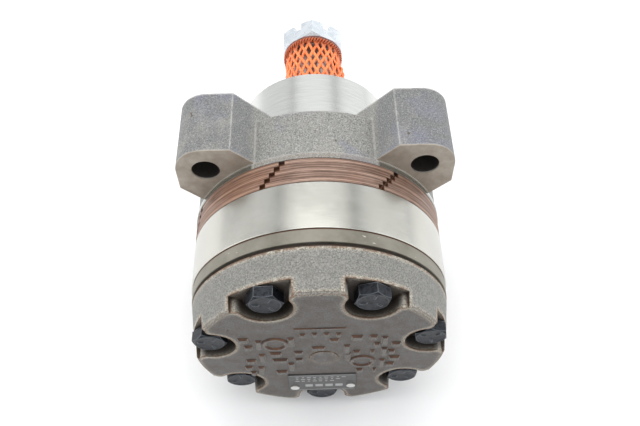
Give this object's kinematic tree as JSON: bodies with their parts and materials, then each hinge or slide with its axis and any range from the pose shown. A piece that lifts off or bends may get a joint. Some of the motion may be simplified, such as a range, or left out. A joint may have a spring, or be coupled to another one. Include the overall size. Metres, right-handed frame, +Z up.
{
  "type": "hydraulic motor",
  "caption": "Low-speed hydraulic motor with a four-ear wheel mount, roller-ring gear set, bolted end cover and tapered output shaft under a protective net.",
  "frame": {"origin": "on the shaft axis, in the plane of the ears' machined mounting face", "axes": "+Y along the shaft to its free end, +Z up with the motor lying on its side, +X right seen from the end cover"},
  "size_m": [0.133, 0.2212, 0.133],
  "materials": {
    "cast_housing": "shot-blast bare casting with machined faces",
    "manifold_copper": "copper-brazed ground plates",
    "ground_ring": "ground steel, oiled",
    "ground_steel": "ground and polished bearing steel",
    "wear_steel": "phosphated steel plate",
    "cast_cover": "bare casting with light rust",
    "bolt_black": "black oxide",
    "plate_tin": "dark printed sheet",
    "bright_pin": "bright zinc",
    "seal_rubber": "moulded rubber",
    "zinc_nut": "bright zinc plate",
    "net_orange": "extruded polyethylene net",
    "cage_steel": "pressed steel",
    "washer_bronze": "dull bronze"
  },
  "bodies": {
    "motor_body": {"housing": "cast_housing", "manifold_plate_1": "manifold_copper", "manifold_plate_2": "manifold_copper", "manifold_plate_3": "manifold_copper", "manifold_plate_4": "manifold_copper", "manifold_plate_5": "manifold_copper", "stator_ring": "ground_ring", "wear_plate": "wear_steel", "end_cover": "cast_cover", "cover_bolts": "bolt_black", "nameplate": "plate_tin", "nameplate_screws": "bright_pin", "body_seal_1": "seal_rubber", "body_seal_2": "seal_rubber", "body_seal_3": "seal_rubber", "body_seal_4": "seal_rubber", "shaft_seal": "seal_rubber", "seal_backup_washer": "washer_bronze", "dust_seal": "seal_rubber", "snap_ring": "cage_steel", "rear_bearing_cup": "ground_steel", "front_bearing_cup": "ground_steel"},
    "shaft": {"output_shaft": "ground_steel", "shaft_key": "ground_steel", "castle_nut": "zinc_nut", "shaft_net": "net_orange", "rear_bearing_race": "ground_steel", "front_bearing_race": "ground_steel"},
    "orbit_spacer": {"drive_spacer": "ground_steel"},
    "rotor": {"rotor": "ground_steel"},
    "drive_link": {"drive_link": "ground_steel"},
    "rear_bearing_set": {"rear_bearing_cage": "cage_steel", "rear_bearing_rollers": "ground_steel"},
    "front_bearing_set": {"front_bearing_cage": "cage_steel", "front_bearing_rollers": "ground_steel"},
    "roller_1": {"stator_roller_1": "ground_steel"},
    "roller_2": {"stator_roller_2": "ground_steel"},
    "roller_3": {"stator_roller_3": "ground_steel"},
    "roller_4": {"stator_roller_4": "ground_steel"},
    "roller_5": {"stator_roller_5": "ground_steel"},
    "roller_6": {"stator_roller_6": "ground_steel"},
    "roller_7": {"stator_roller_7": "ground_steel"}
  },
  "joints": [
    {"name": "shaft_spin", "type": "hinge", "parent": "motor_body", "child": "shaft", "pos_m": [0, 0, 0], "axis": [0, 1, 0], "continuous": true},
    {"name": "rotor_orbit", "type": "hinge", "parent": "motor_body", "child": "orbit_spacer", "pos_m": [0, 0, 0], "axis": [0, 1, 0], "continuous": true},
    {"name": "rotor_spin", "type": "hinge", "parent": "orbit_spacer", "child": "rotor", "pos_m": [0, -0.0293, 0.0026], "axis": [0, 1, 0], "continuous": true},
    {"name": "drive_link_spin", "type": "hinge", "parent": "orbit_spacer", "child": "drive_link", "pos_m": [0, 0.04, 0], "axis": [0, 0.9993, -0.0375], "continuous": true},
    {"name": "roller_1_spin", "type": "hinge", "parent": "motor_body", "child": "roller_1", "pos_m": [0, -0.0293, 0.038], "axis": [0, 1, 0], "continuous": true},
    {"name": "roller_2_spin", "type": "hinge", "parent": "motor_body", "child": "roller_2", "pos_m": [0.02971, -0.0293, 0.02369], "axis": [0, 1, 0], "continuous": true},
    {"name": "roller_3_spin", "type": "hinge", "parent": "motor_body", "child": "roller_3", "pos_m": [0.03705, -0.0293, -0.00846], "axis": [0, 1, 0], "continuous": true},
    {"name": "roller_4_spin", "type": "hinge", "parent": "motor_body", "child": "roller_4", "pos_m": [0.01649, -0.0293, -0.03424], "axis": [0, 1, 0], "continuous": true},
    {"name": "roller_5_spin", "type": "hinge", "parent": "motor_body", "child": "roller_5", "pos_m": [-0.01649, -0.0293, -0.03424], "axis": [0, 1, 0], "continuous": true},
    {"name": "roller_6_spin", "type": "hinge", "parent": "motor_body", "child": "roller_6", "pos_m": [-0.03705, -0.0293, -0.00846], "axis": [0, 1, 0], "continuous": true},
    {"name": "roller_7_spin", "type": "hinge", "parent": "motor_body", "child": "roller_7", "pos_m": [-0.02971, -0.0293, 0.02369], "axis": [0, 1, 0], "continuous": true},
    {"name": "rear_bearing_spin", "type": "hinge", "parent": "motor_body", "child": "rear_bearing_set", "pos_m": [0, 0.016, 0], "axis": [0, 1, 0], "continuous": true},
    {"name": "front_bearing_spin", "type": "hinge", "parent": "motor_body", "child": "front_bearing_set", "pos_m": [0, 0.056, 0], "axis": [0, 1, 0], "continuous": true}
  ],
  "couplings": [
    {"joint": "rotor_orbit", "follows": "shaft_spin", "ratio": -6},
    {"joint": "rotor_spin", "follows": "shaft_spin", "ratio": 7},
    {"joint": "drive_link_spin", "follows": "shaft_spin", "ratio": 7},
    {"joint": "rear_bearing_spin", "follows": "shaft_spin", "ratio": 0.4454},
    {"joint": "front_bearing_spin", "follows": "shaft_spin", "ratio": 0.4454}
  ]
}
